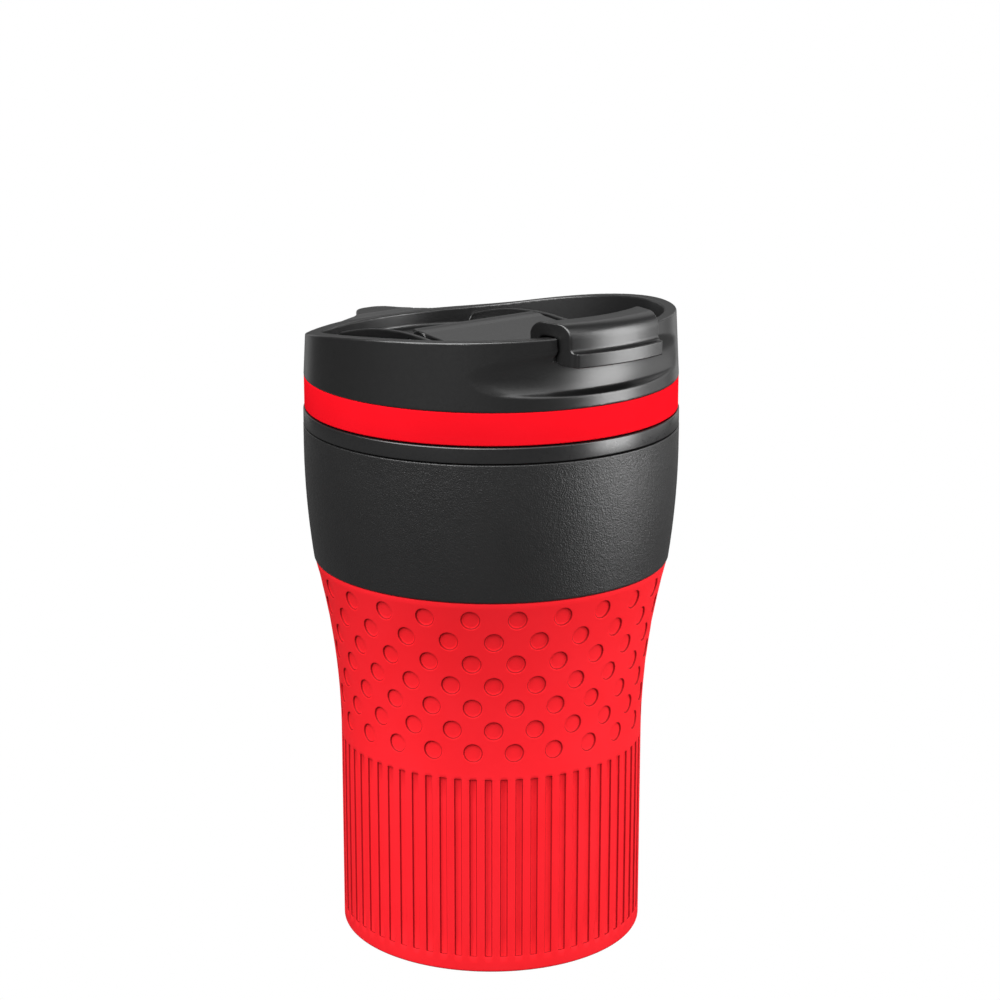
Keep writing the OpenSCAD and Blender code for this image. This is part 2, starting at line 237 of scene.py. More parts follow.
def net(field, low, high, pitch, relax=2):
    """Surface of a field: points, quads between them, and the normal at each point."""
    low = np.array(low, float)
    count = np.ceil((np.array(high) - low) / pitch).astype(int) + 1
    axes = [low[i] + pitch * np.arange(count[i]) for i in range(3)]
    values = np.empty(count, np.float32)
    for k in range(0, count[2], 16):            # in layers, to save memory
        zs = axes[2][k:k + 16]
        values[:, :, k:k + 16] = field(axes[0][:, None, None], axes[1][:, None], zs)

    # one point in each crossed cell: the mean of the crossings on its edges
    inside = values < 0
    total = np.zeros(count - 1, np.uint8)
    corners = [(i, j, k) for i in (0, 1) for j in (0, 1) for k in (0, 1)]
    for c in corners:
        total += inside[tuple(slice(c[i], count[i] - 1 + c[i]) for i in range(3))]
    active = (total > 0) & (total < 8)
    index = np.full(count - 1, -1, np.int64)
    cells = np.argwhere(active)
    index[active] = np.arange(len(cells))
    at = {c: values[cells[:, 0] + c[0], cells[:, 1] + c[1], cells[:, 2] + c[2]] for c in corners}
    points = np.zeros((len(cells), 3))
    weight = np.zeros(len(cells))
    for c in corners:
        for axis in range(3):
            if c[axis]:
                continue
            d = tuple(1 if i == axis else c[i] for i in range(3))
            a, b = at[c], at[d]
            crossed = (a < 0) != (b < 0)
            t = np.where(crossed, a / np.where(crossed, a - b, 1), 0)
            p = np.tile(np.array(c, float), (len(cells), 1))
            p[:, axis] += t
            points += p * crossed[:, None]
            weight += crossed
    points = low + pitch * (cells + points / weight[:, None])

    # one quad around each grid edge that the surface crosses
    quads = []
    for axis in range(3):
        u, v = [i for i in range(3) if i != axis]
        first = [slice(None)] * 3
        second = [slice(None)] * 3
        first[axis], second[axis] = slice(0, -1), slice(1, None)
        a, b = inside[tuple(first)], inside[tuple(second)]
        for way in (0, 1):
            hit = np.argwhere((a & ~b) if way == 0 else (~a & b))
            hit = hit[(hit[:, u] > 0) & (hit[:, v] > 0)
                      & (hit[:, u] < count[u] - 1) & (hit[:, v] < count[v] - 1)]
            ring = []
            for du, dv in ((0, 0), (1, 0), (1, 1), (0, 1)):
                q = hit.copy()
                q[:, u] -= du
                q[:, v] -= dv
                ring.append(index[q[:, 0], q[:, 1], q[:, 2]])
            ring = np.stack(ring, 1)
            flip = (way == 0) != (axis == 1)
            quads.append(ring if flip else ring[:, ::-1])
    quads = np.concatenate(quads)

    def slope(p, e=0.01):
        g = np.empty_like(p)
        for i in range(3):
            d = np.zeros(3)
            d[i] = e
            g[:, i] = (field(*(p + d).T) - field(*(p - d).T)) / (2 * e)
        return g

    # the points spread out evenly, and step back onto the surface each time
    edges = np.concatenate([quads[:, [i, (i + 1) % 4]] for i in range(4)])
    for step in range(relax + 2):
        if step < relax:
            mean = np.zeros_like(points)
            seen = np.zeros(len(points))
            for a, b in ((0, 1), (1, 0)):
                np.add.at(mean, edges[:, a], points[edges[:, b]])
                np.add.at(seen, edges[:, a], 1)
            points = 0.5 * points + 0.5 * mean / seen[:, None]
        for _ in range(2):
            g = slope(points)
            move = (field(*points.T) / np.maximum((g * g).sum(1), 0.05))[:, None] * g
            length = np.linalg.norm(move, axis=1)[:, None]
            points = points - move * np.minimum(1, 0.5 * pitch / np.maximum(length, 1e-9))
    g = slope(points, 0.03)
    return points, quads, g / np.linalg.norm(g, axis=1)[:, None]


# ---------------------------------------------------------------- fields of the lid and the lever

def lever_w(s):
    """Half of the lever's width at s."""
    return np.minimum(LEVER_HALF, 19.4 - 0.17 * s)


def outer_wall(x, s, z, r):
    """The wall of the lid with the thumb lug melted into it, less the finger scoop."""
    wall = both(r - (LID_R - TAPER * (z - RING_Z1)), RING_Z1 - z, 0.35)
    pad = np.hypot(np.maximum(np.abs(x) - LUG_HALF, 0), np.maximum(LUG_S - s, 0)) - LUG_R
    pad = np.maximum(pad, s + 34)
    lug = both(pad, RIM_BACK - 5.0 - z, 1.2)
    outer = either(wall, lug, 4.0)
    below = np.maximum(SCOOP_FOOT - z, 0)
    face = SCOOP_R + (z - SCOOP_Z) ** 2 / 14 + 0.9 * below ** 2
    scoop = (face - np.hypot(x, s - SCOOP_S)) / np.hypot(1, (z - SCOOP_Z) / 7 - 1.8 * below)
    return minus(outer, np.maximum(scoop, -5 - s), 0.35)


def on_pivot(s, z, radius):
    """Field of a round bar on the lever's axis."""
    return np.hypot(s - PIVOT_S, z - PIVOT_Z) - radius


def notch(x, s, z, r):
    """Room in the wall for the leg of the hook; its back leans inwards with the leg's swing."""
    back = NECK_R - 0.1 * np.clip(z - 142.5, 0, 1.5) - 0.158 * np.clip(z - 144, 0, 2)
    cut = np.minimum(both(back - r, NOTCH_Z0 - z, 0.3), NOTCH_Z1 - z)
    return np.maximum(both(cut, np.abs(x) - lever_w(s) - NOTCH_GAP, 0.25), 30 - s)


def lid_field(x, y, z):
    s = -y
    r = np.hypot(x, s)
    neck = np.maximum(r - NECK_R, span(z, RING_Z0, RING_Z1 + 0.6))
    flange = np.maximum(r - FLANGE_R, span(z, RING_Z0, RING_Z0 + 0.6))
    body = np.minimum(np.minimum(outer_wall(x, s, z, r), neck), flange)
    body = both(body, (z - rim_z(s)) * 0.985, 0.45)
    bowl = both((r - (BOWL_R + 0.12 * (z - FLOOR_Z))) * 0.993, FLOOR_Z - z, 0.8)
    body = minus(body, bowl, 0.4)
    body = minus(body, notch(x, s, z, r), 0.2)
    under = np.maximum(r - 36.9, z - (FLOOR_Z - FLOOR_T))
    body = np.maximum(body, -under)
    top = CHEEK_TOP - (s + 5) ** 2 / 170
    cheek = both((z - top) * 0.97, span(s, -31.8, 15.5), 1.6)
    cheek = both(cheek, np.abs(np.abs(x) - CHEEK_X) - CHEEK_HALF, 0.25)
    body = either(body, np.maximum(cheek, 133.5 - z), 0.5)
    body = minus(body, np.hypot(x, s - STOPPER_S) - DRINK_R, 0.25)
    body = np.maximum(body, VENT_R - np.hypot(x, s - VENT_S))
    bore = np.maximum(on_pivot(s, z, PIN_R + 0.02), span(np.abs(x), 17, 21.5))
    return np.maximum(body, -bore)


def plate_z(s):
    """Height of the top of the lever's plate."""
    return PLATE_Z - 0.085 * (s - PLATE_S)


def lever_field(x, y, z):
    s = -y
    r = np.hypot(x, s)
    ax = np.abs(x)
    side = (ax - lever_w(s)) * 0.985
    plate = both((z - plate_z(s)) * 0.996, plate_z(s) - PLATE_T - z, 0.3)
    plate = both(plate, side, 0.3)
    plate = both(plate, np.maximum(PLATE_S - s, r - (HOOK_R0 + 1.5)), 0.3)
    barrel = np.maximum(on_pivot(s, z, BARREL_R), ax - LEVER_HALF)
    lever = either(plate, barrel, 0.8)
    arch = both(HOOK_R0 - r, z - HOOK_TOP, 3.1)
    arch = both(arch, r - HOOK_R1, 3.2)
    arch = np.maximum(arch, 136.0 - z)
    tongue = both(span(r, 39, TONGUE_R), span(z, TONGUE_Z0, TONGUE_Z1), 0.3)
    tongue = np.maximum(tongue, both(r - TONGUE_R, side, 0.5))
    hook = np.maximum(either(arch, tongue, 0.9), 20 - s)
    hook = both(hook, side, 0.3)
    slot = both(both(SLOT_R0 - r, z - SLOT_TOP, 1.0), r - SLOT_R1, 0.9)
    hook = minus(hook, slot, 0.3)
    leg = both(SLOT_R1 - r, TONGUE_Z0 - z, 1.1)
    hook = np.maximum(hook, np.where(r > 38.5, leg - 9 * (z > 144), -9))
    lever = either(lever, hook, 0.8)
    boss = both(np.hypot(x, s - STOPPER_S) - BOSS_R, BOSS_Z - z, 0.2)
    lever = either(lever, np.maximum(boss, z - 138), 0.5)
    bore = np.maximum(on_pivot(s, z, PIN_R + 0.05), 10.0 - ax)
    return np.maximum(lever, -bore)


# ---------------------------------------------------------------- the sleeve

SLOTS, SLOT_Z0, SLOT_Z1 = 64, 4.4, 46.6
DOTS, DOT_ROWS, DOT_Z0, DOT_PITCH = 24, 7, 52.85, 5.305
DOT_DEPTH = SLOT_DEPTH = 0.42
ACROSS, UP = 24, 12                             # faces along the border of a dimple's cell
HOME = 4                                        # the column at angle 0 where columns are even


def sleeve_mesh():
    """Skin with real slots and dimples on one set of columns, closed by a plain inner skin."""
    columns = DOTS * ACROSS
    per_slot = columns // SLOTS
    verts, faces = [], []

    def place(theta, z, depth):
        slope = (z - FLARE_Z) / FLARE_ARC if z > FLARE_Z else 0.0
        r = float(flare_r(z)) - depth
        verts.append((r * math.sin(theta), -r * math.cos(theta), z + depth * slope))
        return len(verts) - 1

    # the columns' angles: packed around the slot edges, evenly spaced further up
    edge = [-0.87, -0.80, -0.66, -0.56, 0.56, 0.66, 0.80, 0.87, 1.705]
    dig = [SLOT_DEPTH * share for share in (0, 0.2, 0.84, 1, 1, 0.84, 0.2, 0, 0)]
    slot_angle = [(k // per_slot) * 2 * math.pi / SLOTS + edge[k % per_slot] / BASE_R
                  for k in range(columns)]
    even_angle = [(k - HOME) * 2 * math.pi / columns for k in range(columns)]

    rows = []

    def ring_row(z, blend, depth_scale, inset=0.0):
        row = []
        for k in range(columns):
            a = slot_angle[k] * (1 - blend) + even_angle[k] * blend
            row.append(place(a, z, dig[k % per_slot] * depth_scale + inset))
        rows.append(row)

    for dz, inset in ((0, 1.1), (0, 0.45), (0.04, 0.25), (0.13, 0.1), (0.3, 0.02), (0.55, 0.0)):
        ring_row(FOOT_Z + dz, 0, 0, inset)
    ring_row(2.8, 0, 0)
    slot_end = ((-0.12, 0), (0, 0.2), (0.05, 0.84), (0.17, 1))
    for dz, scale in slot_end:
        ring_row(SLOT_Z0 + dz, 0, scale)
    for k in range(1, 8):
        ring_row(SLOT_Z0 + (SLOT_Z1 - SLOT_Z0) * k / 8, 0, 1)
    for dz, scale in slot_end[::-1]:
        ring_row(SLOT_Z1 - dz, 0, scale)
    first_edge = DOT_Z0 - DOT_PITCH / 2
    ring_row(47.4, 0.15, 0)
    ring_row(48.6, 0.6, 0)
    ring_row(first_edge, 1, 0)
    for low, high in zip(rows, rows[1:]):
        for k in range(columns):
            m = (k + 1) % columns
            faces.append((low[k], low[m], high[m], high[k]))

    # cells with a dimple in the middle, laid like bricks
    radii = [0.7, 1.4, 1.75, 1.88, 1.97, 2.07, 2.15, 2.22, 2.34]
    depths = [DOT_DEPTH * share for share in (1, 1, 1, 0.92, 0.72, 0.32, 0.1, 0.02, 0)]
    lower = rows[-1]
    cell = 2 * math.pi / DOTS
    for row in range(DOT_ROWS):
        zc = DOT_Z0 + row * DOT_PITCH
        z_low, z_high = zc - DOT_PITCH / 2, zc + DOT_PITCH / 2
        upper = [place(even_angle[k], z_high, 0) for k in range(columns)]
        shift = (row % 2) * ACROSS // 2
        sides = []
        for i in range(DOTS):
            k0 = (HOME + i * ACROSS + shift - ACROSS // 2) % columns
            sides.append([place(even_angle[k0], z_low + (z_high - z_low) * j / UP, 0)
                          for j in range(1, UP)])
        for i in range(DOTS):
            start = HOME + i * ACROSS + shift - ACROSS // 2
            bottom = [lower[(start + k) % columns] for k in range(ACROSS + 1)]
            top = [upper[(start + k) % columns] for k in range(ACROSS + 1)]
            right, left = sides[(i + 1) % DOTS], sides[i]
            border = bottom + right + top[::-1] + left[::-1]
            centre = even_angle[0] + (HOME + i * ACROSS + shift) * 2 * math.pi / columns
            rc = float(flare_r(zc))
            local = []
            for b in range(ACROSS + 1):
                local.append(((b / ACROSS - 0.5) * cell * rc, -DOT_PITCH / 2))
            for j in range(1, UP):
                local.append((cell * rc / 2, (j / UP - 0.5) * DOT_PITCH))
            for b in range(ACROSS, -1, -1):
                local.append(((b / ACROSS - 0.5) * cell * rc, DOT_PITCH / 2))
            for j in range(UP - 1, 0, -1):
                local.append((-cell * rc / 2, (j / UP - 0.5) * DOT_PITCH))
            angles = [math.atan2(v, u) for u, v in local]
            rings = [border]
            for mix in (0.62, 0.3):
                rings.append([
                    place(centre + (u * mix + (1 - mix) * radii[-1] * math.cos(t)) / rc,
                          zc + v * mix + (1 - mix) * radii[-1] * math.sin(t), 0)
                    for (u, v), t in zip(local, angles)
                ])
            for rad, depth in zip(radii[::-1], depths[::-1]):
                rings.append([place(centre + rad * math.cos(t) / rc, zc + rad * math.sin(t), depth)
                              for t in angles])
            hub = place(centre, zc, DOT_DEPTH)
            n = len(border)
            for outer, inner in zip(rings, rings[1:]):
                for b in range(n):
                    m = (b + 1) % n
                    faces.append((outer[b], outer[m], inner[m], inner[b]))
            for b in range(n):
                faces.append((rings[-1][b], rings[-1][(b + 1) % n], hub))
        lower = upper

    # up to the seam, over the top and down the inside
    tail = [lower]

    def plain(z, inset, angles=even_angle):
        r = float(flare_r(z)) - inset
        tail.append(range(len(verts), len(verts) + columns))
        verts.extend((r * math.sin(a), -r * math.cos(a), z) for a in angles)

    plain(SEAM_Z - 0.25, 0.0)
    plain(SEAM_Z - 0.05, 0.08)
    plain(SEAM_Z, 0.3)
    plain(SEAM_Z, SKIN - 0.1)
    for z in np.linspace(SEAM_Z - 1, FLARE_Z, 9):
        plain(float(z), SKIN - 0.1)
    plain(FOOT_Z, SKIN - 0.1, slot_angle)
    tail.append(rows[0])
    for low, high in zip(tail, tail[1:]):
        for k in range(columns):
            m = (k + 1) % columns
            faces.append((low[k], low[m], high[m], high[k]))
    return verts, faces


# ---------------------------------------------------------------- the grip band

GRAIN_DEPTH, GRAIN_CONTRAST, GRAIN_SEED = 0.022, 2.4, 5
GRAIN_CELLS, GRAIN_ROWS, GRAIN_STEP = 850, 130, 0.31


def noise_grid(rows, columns, seed):
    """Seeded random numbers for wavy()."""
    return np.random.default_rng(seed).random((rows, columns))


def wavy(grid, u, v):
    """Smooth noise over a grid that repeats along u; u and v are in cells."""
    rows, columns = grid.shape
    out = 0
    iu, iv = np.floor(u).astype(int), np.floor(v).astype(int)
    fu, fv = u - iu, v - iv
    spline = lambda t: ((1 - t) ** 3 / 6, (3 * t ** 3 - 6 * t ** 2 + 4) / 6,
                        (-3 * t ** 3 + 3 * t ** 2 + 3 * t + 1) / 6, t ** 3 / 6)
    wu, wv = spline(fu), spline(fv)
    for a in range(4):
        for b in range(4):
            near = grid[np.clip(iv + b - 1, 0, rows - 1), (iu + a - 1) % columns]
            out = out + wu[a] * wv[b] * near
    return out


def band_mesh():
    """The band with its pebbled grain as real relief, closed by a plain inner skin."""
    columns, step = 1800, 0.15
    rows = int((BAND_TOP - SEAM_Z - 1.2) / step)
    z = np.concatenate([[SEAM_Z, SEAM_Z, SEAM_Z + 0.12, SEAM_Z + 0.35],
                        np.linspace(SEAM_Z + 0.6, BAND_TOP - 0.6, rows),
                        [BAND_TOP - 0.42, BAND_TOP - 0.33, BAND_TOP - 0.27, BAND_TOP - 0.25]])
    inset = np.zeros(len(z))
    inset[:4] = (0.9, 0.35, 0.1, 0.0)
    inset[-4:] = (0.0, 0.06, 0.2, 0.8)
    relief = np.ones(len(z))
    relief[:4] = (0, 0, 0.2, 0.6)
    relief[-4:] = (0.7, 0.4, 0, 0)
    turn = np.linspace(0, 2 * math.pi, columns, endpoint=False)
    u, v = np.meshgrid(turn / (2 * math.pi), (z - SEAM_Z))
    grid = noise_grid(GRAIN_ROWS, GRAIN_CELLS, GRAIN_SEED)
    grain = wavy(grid, u * GRAIN_CELLS, v / GRAIN_STEP + 2)
    height = np.clip(0.5 + GRAIN_CONTRAST * (grain - 0.5), 0, 1)
    r = band_r(z)[:, None] - inset[:, None] - GRAIN_DEPTH * (1 - height) * relief[:, None]
    outer = np.stack([r * np.cos(turn), r * np.sin(turn),
                      np.broadcast_to(z[:, None], r.shape)], -1)
    z_in = np.linspace(BAND_TOP, SEAM_Z, 12)
    r_in = band_r(z_in)[:, None] - SKIN + 0.1 + 0 * turn
    inner = np.stack([r_in * np.cos(turn), r_in * np.sin(turn),
                      np.broadcast_to(z_in[:, None], r_in.shape)], -1)
    verts = np.concatenate([outer, inner]).reshape(-1, 3)
    count = len(z) + len(z_in)
    a = np.arange(count)[:, None] * columns + np.arange(columns)
    b = np.roll(a, -1, axis=0)
    faces = np.stack([a, np.roll(a, -1, 1), np.roll(b, -1, 1), b], -1).reshape(-1, 4)
    return verts, faces


# ---------------------------------------------------------------- materials

def new_material(name):
    """An empty node material, with its shader and its object coordinates."""
    mat = bpy.data.materials.new(name)
    mat.use_nodes = True
    nodes, links = mat.node_tree.nodes, mat.node_tree.links
    shader = nodes["Principled BSDF"]
    place = nodes.new("ShaderNodeTexCoord").outputs["Object"]
    return mat, nodes, links, shader, place


def noise(nodes, links, source, scale, detail=2.0, rough=0.5, stretch=None):
    """Noise at a scale in cycles per metre; stretch multiplies the scale along each axis."""
    if stretch:
        mapping = nodes.new("ShaderNodeMapping")
        mapping.inputs["Scale"].default_value = stretch
        links.new(source, mapping.inputs["Vector"])
        source = mapping.outputs["Vector"]
    node = nodes.new("ShaderNodeTexNoise")
    node.inputs["Scale"].default_value = scale
    node.inputs["Detail"].default_value = detail
    node.inputs["Roughness"].default_value = rough
    links.new(source, node.inputs["Vector"])
    return node.outputs["Fac"]


def ramp(nodes, links, source, stops):
    """A colour ramp of (position, colour) stops, its two ends first; a number is a grey."""
    node = nodes.new("ShaderNodeValToRGB")
    ends = node.color_ramp.elements
    for i, (position, colour) in enumerate(stops):
        stop = ends[i] if i < 2 else ends.new(position)
        stop.position = position
        stop.color = (colour, colour, colour, 1) if isinstance(colour, float) else (*colour, 1)
    links.new(source, node.inputs["Fac"])
    return node.outputs["Color"]


def bump(nodes, links, source, distance):
    """Bump of the given height in metres."""
    node = nodes.new("ShaderNodeBump")
    node.inputs["Distance"].default_value = distance
    node.inputs["Strength"].default_value = 1.0
    links.new(source, node.inputs["Height"])
    return node.outputs["Normal"]


def moulded(name, low, high, rough_low, rough_high, grain, grain_depth, specular=0.5):
    """Moulded rubber or plastic: patchy colour and gloss, and an eroded mould texture."""
    mat, nodes, links, shader, place = new_material(name)
    clouds = noise(nodes, links, place, 60.0, 3.0, 0.55)
    links.new(ramp(nodes, links, clouds, [(0.3, low), (0.7, high)]), shader.inputs["Base Color"])
    specks = noise(nodes, links, place, grain * 0.6, 3.0, 0.6)
    rough = ramp(nodes, links, specks, [(0.3, rough_low), (0.7, rough_high)])
    links.new(rough, shader.inputs["Roughness"])
    shader.inputs["Specular IOR Level"].default_value = specular
    normal = bump(nodes, links, noise(nodes, links, place, grain), grain_depth)
    links.new(normal, shader.inputs["Normal"])
    return mat, nodes, links, shader, place


red_silicone, *parts = moulded("red_silicone", (0.94, 0.017, 0.025), (0.97, 0.020, 0.030),
                               0.55, 0.63, 2600.0, 0.00001, specular=0.06)


def paint_recess_shade(nodes, links, shader, place):
    """Paints shade into the colour of the steep walls of the sleeve's slots and dimples, found by
    depth below its skin.
    """
    def maths(kind, a, b=0.0):
        node = nodes.new("ShaderNodeMath")
        node.operation = kind
        for socket, value in zip(node.inputs, (a, b)):
            if isinstance(value, float):
                socket.default_value = value
            else:
                links.new(value, socket)
        return node.outputs[0]

    split = nodes.new("ShaderNodeSeparateXYZ")
    links.new(place, split.inputs[0])
    x, y, z = split.outputs
    radius = maths("SQRT", maths("ADD", maths("MULTIPLY", x, x), maths("MULTIPLY", y, y)))
    rise = maths("MAXIMUM", maths("SUBTRACT", z, FLARE_Z * MM), 0.0)
    flare = maths("DIVIDE", maths("MULTIPLY", rise, rise), 2 * FLARE_ARC * MM)
    skin = maths("ADD", flare, BASE_R * MM)
    depth = maths("DIVIDE", maths("SUBTRACT", skin, radius), DOT_DEPTH * MM)
    # painted shade: the colour falls to 0.34 of itself on the recess walls and stays full on the
    # skin and the floors
    painted_shade = ramp(nodes, links, depth, [(0.04, 1.0), (0.95, 1.0), (0.25, 0.34), (0.7, 0.34)])
    colour = shader.inputs["Base Color"].links[0].from_socket
    mix = nodes.new("ShaderNodeMix")
    mix.data_type = "RGBA"
    mix.blend_type = "MULTIPLY"
    mix.inputs[0].default_value = 1.0
    links.new(colour, mix.inputs[6])
    links.new(painted_shade, mix.inputs[7])
    links.new(mix.outputs[2], shader.inputs["Base Color"])


# paints shade into the red silicone's colour on the walls of the slots and dimples
paint_recess_shade(*parts)

ring_red = moulded("ring_red", (0.84, 0.0065, 0.0145), (0.87, 0.0075, 0.0165), 0.52, 0.60,
                   2600.0, 0.00001, specular=0.0)[0]
grip_rubber = moulded("grip_rubber", (0.006, 0.006, 0.0062), (0.009, 0.009, 0.0092), 0.36, 0.44,
                      3300.0, 0.00011, specular=0.8)[0]
lid_plastic = moulded("lid_plastic", (0.0035, 0.0035, 0.0036), (0.005, 0.005, 0.0051), 0.30, 0.36,
                      4200.0, 0.000006, specular=1.0)[0]
insert_plastic = moulded("insert_plastic", (0.014, 0.014, 0.015), (0.018, 0.018, 0.019),
                         0.32, 0.42, 3600.0, 0.000005)[0]
collar_gloss = moulded("collar_gloss", (0.006, 0.006, 0.0063), (0.008, 0.008, 0.0083), 0.27, 0.33,
                       1800.0, 0.000001, specular=1.0)[0]
black_silicone = moulded("black_silicone", (0.020, 0.020, 0.020), (0.028, 0.028, 0.028), 0.6, 0.72,
                         3000.0, 0.00002)[0]

seal_silicone, _, _, shader, _ = moulded("seal_silicone", (0.70, 0.70, 0.68), (0.76, 0.76, 0.74),
                                         0.30, 0.40, 2600.0, 0.000004)
shader.inputs["Subsurface Weight"].default_value = 0.5
shader.inputs["Subsurface Radius"].default_value = (0.003, 0.003, 0.003)
shader.inputs["Subsurface Scale"].default_value = 1.0


def brushed(name, low, high, rough_low, rough_high, stretch):
    """Brushed steel with faint fine scratches; stretch sets which way they run."""
    mat, nodes, links, shader, place = new_material(name)
    lines = noise(nodes, links, place, 900.0, 4.0, 0.65, stretch)
    links.new(ramp(nodes, links, lines, [(0.35, low), (0.65, high)]), shader.inputs["Base Color"])
    rough = ramp(nodes, links, lines, [(0.3, rough_low), (0.7, rough_high)])
    links.new(rough, shader.inputs["Roughness"])
    shader.inputs["Metallic"].default_value = 1.0
    shader.inputs["Anisotropic"].default_value = 0.5
    links.new(bump(nodes, links, lines, 0.000008), shader.inputs["Normal"])
    return mat


liner_steel = brushed("liner_steel", (0.52, 0.53, 0.54), (0.66, 0.67, 0.68),
                      0.24, 0.36, (0.03, 0.03, 4.0))
shell_steel = brushed("shell_steel", (0.50, 0.51, 0.52), (0.62, 0.63, 0.64),
                      0.30, 0.42, (0.03, 0.03, 4.0))
pin_steel = brushed("pin_steel", (0.48, 0.48, 0.49), (0.60, 0.60, 0.61),
                    0.22, 0.34, (4.0, 0.1, 0.1))

# ---------------------------------------------------------------- pieces of the cup

verts, faces = sleeve_mesh()
sleeve = add_mesh("sleeve_skin", verts, faces, "cup", ["grip_sleeve"], red_silicone)
mark_sharp(sleeve, 50)

verts, faces = band_mesh()
add_mesh("grip_band_skin", verts, faces, "cup", ["grip_band"], grip_rubber)

turned("collar", [(LIP_R, BAND_TOP, 0), (COLLAR_R, BAND_TOP, 0.3), (COLLAR_R, COLLAR_TOP, 0.35),
                  (COLLAR_IN, COLLAR_TOP, 0.3), (COLLAR_IN, MOUTH_Z, 0), (LIP_R, MOUTH_Z, 0)],
       "cup", ["collar_ring"], collar_gloss)


def liner_r(z):
    """Inner radius of the liner: straight below, flared above."""
    return LINER_R if z < 51 else min(MOUTH_R, LINER_R + 8.2 * ((z - 50) / 54) ** 1.35)


wall_z = [50] + list(np.linspace(53, 104, 28)) + [107]
liner_section = ([(0, 8, 0), (25.2, 8, 3), (LINER_R, 12, 3)]
                 + [(liner_r(z), z, 0) for z in wall_z]
                 + [(MOUTH_R, MOUTH_Z, 0.5), (LIP_R, MOUTH_Z, 0),
                    (LIP_R, MOUTH_Z - LIP_T, 0), (COLLAR_IN, MOUTH_Z - LIP_T, 0.3)]
                 + [(liner_r(z) + LINER_T, z, 0) for z in wall_z[::-1]]
                 + [(LINER_R + LINER_T, 11.7, 3), (25.9, 7.2, 3), (0, 7.2, 0)])
turned("liner", liner_section[::-1], "cup", ["inner_liner"], liner_steel)

turned("foot_pad", [(0, 0, 0), (22, 0, 0.25), (22.3, 0.6, 0.2), (23.7, 0.6, 0.2), (24, 0, 0.25),
                    (29.9, 0, 0.25), (30.1, 0.25, 0.1), (30.7, 0.25, 0.1), (30.9, 0, 0.2),
                    (PAD_R, 0, 0.7), (PAD_R, PAD_T, 0), (6.1, PAD_T, 0), (6.1, 1.5, 0),
                    (0, 1.5, 0)],
       "cup", ["base_pad"], black_silicone)

# ---------------------------------------------------------------- pieces of the lid

LID_PITCH, LEVER_PITCH, INSERT_PITCH = ((0.34, 0.26, 0.45))


def carved(name, field, low, high, pitch, body, nodes, material):
    """A piece made from the surface of a field."""
    points, quads, normals = net(field, low, high, pitch)
    add_mesh(name, points, quads, body, nodes, material, normals)


carved("lid_shell", lid_field, (-43.5, -43.5, 122.9), (43.5, 48.5, 147.6), LID_PITCH,
       "lid", ["lid_body"], lid_plastic)

turned("lid_ring", [(40.9, RING_Z0, 0), (41.95, RING_Z0, 0.3), (41.95, RING_Z1, 0.3),
                    (NECK_R, RING_Z1, 0), (NECK_R, RING_Z0 + 0.7, 0), (40.9, RING_Z0 + 0.7, 0)],
       "lid", ["lid_band"], ring_red)


def insert_field(x, y, z):
    s = -y
    r = np.hypot(x, s)
    plug = both(r - PLUG_R, PLUG_Z0 - z, 0.8)
    plug = np.maximum(plug, z - PLUG_Z1)
    hollow = both(r - 33.9, PLUG_Z0 + 1.8 - z, 1.2)
    plug = minus(plug, hollow)
    duct = np.hypot(x, s - STOPPER_S)
    vent = np.hypot(x, s - VENT_S)
    tubes = np.minimum(duct - (DRINK_R + 1.5), vent - 2 * VENT_R)
    tubes = np.maximum(tubes, span(z, PLUG_Z0, PLUG_Z1))
    plug = np.maximum(either(plug, tubes, 0.8), PLUG_Z0 - z)
    for _, _, z0 in SEALS:
        plug = np.maximum(plug, -np.maximum(SEAL_R - r, span(z, z0, z0 + SEAL_T)))
    plug = minus(plug, duct - DRINK_R, 0.5)
    return np.maximum(plug, VENT_R - vent)


carved("lid_plug", insert_field, (-37.6, -37.6, 112.1), (37.6, 37.6, 133.2), INSERT_PITCH,
       "lid", ["lid_insert"], insert_plastic)

for name, node, z0 in SEALS:
    turned(name, [(SEAL_R, z0, 0), (PLUG_R, z0, 0.1), (37.34, z0 + 0.6, 0.3),
                  (37.34, z0 + 1.0, 0.3), (PLUG_R, z0 + SEAL_T, 0.1), (SEAL_R, z0 + SEAL_T, 0)],
           "lid", [node], seal_silicone)

turned("vent_button", [(0.5, 131.55, 0), (VENT_R, 131.55, 0.2), (VENT_R, FLOOR_Z, 0),
                       (2.6, FLOOR_Z, 0), (2.6, FLOOR_Z + 0.8, 0.45),
                       (1.1, FLOOR_Z + 0.8, 0.2), (0.5, FLOOR_Z + 0.45, 0.1)],
       "lid", ["vent_valve"], seal_silicone, 96, (0, -VENT_S))

# ---------------------------------------------------------------- the lever, its seal and its pins

carved("lever_shell", lever_field, (-17.8, -46.3, 134.9), (17.8, 7.6, 149.9), LEVER_PITCH,
       "lever", ["flip_lever"], lid_plastic)

turned("stopper", [(0, FLOOR_Z + 0.3, 0), (STOPPER_R, FLOOR_Z + 0.3, 0.3),
                   (STOPPER_R, FLOOR_Z + 1.4, 0.35), (BOSS_R, FLOOR_Z + 1.4, 0.1),
                   (BOSS_R, BOSS_Z, 0), (0, BOSS_Z, 0)],
       "lever", ["stopper_seal"], seal_silicone, 96, (0, -STOPPER_S))


def pin(name, node, x0, x1):
    """A pin along X with slightly domed ends."""
    r = PIN_R
    stations = [(x0, 0.0), (x0, r - 0.45), (x0 + 0.08, r - 0.2), (x0 + 0.25, r),
                (x1 - 0.25, r), (x1 - 0.08, r - 0.2), (x1, r - 0.45), (x1, 0.0)]
    verts, faces = lathe([(radius, x) for x, radius in stations], 48)
    verts = [(z, -PIVOT_S + x, PIVOT_Z + y) for x, y, z in verts]
    mark_sharp(add_mesh(name, verts, faces, "lid", [node], pin_steel), 40)


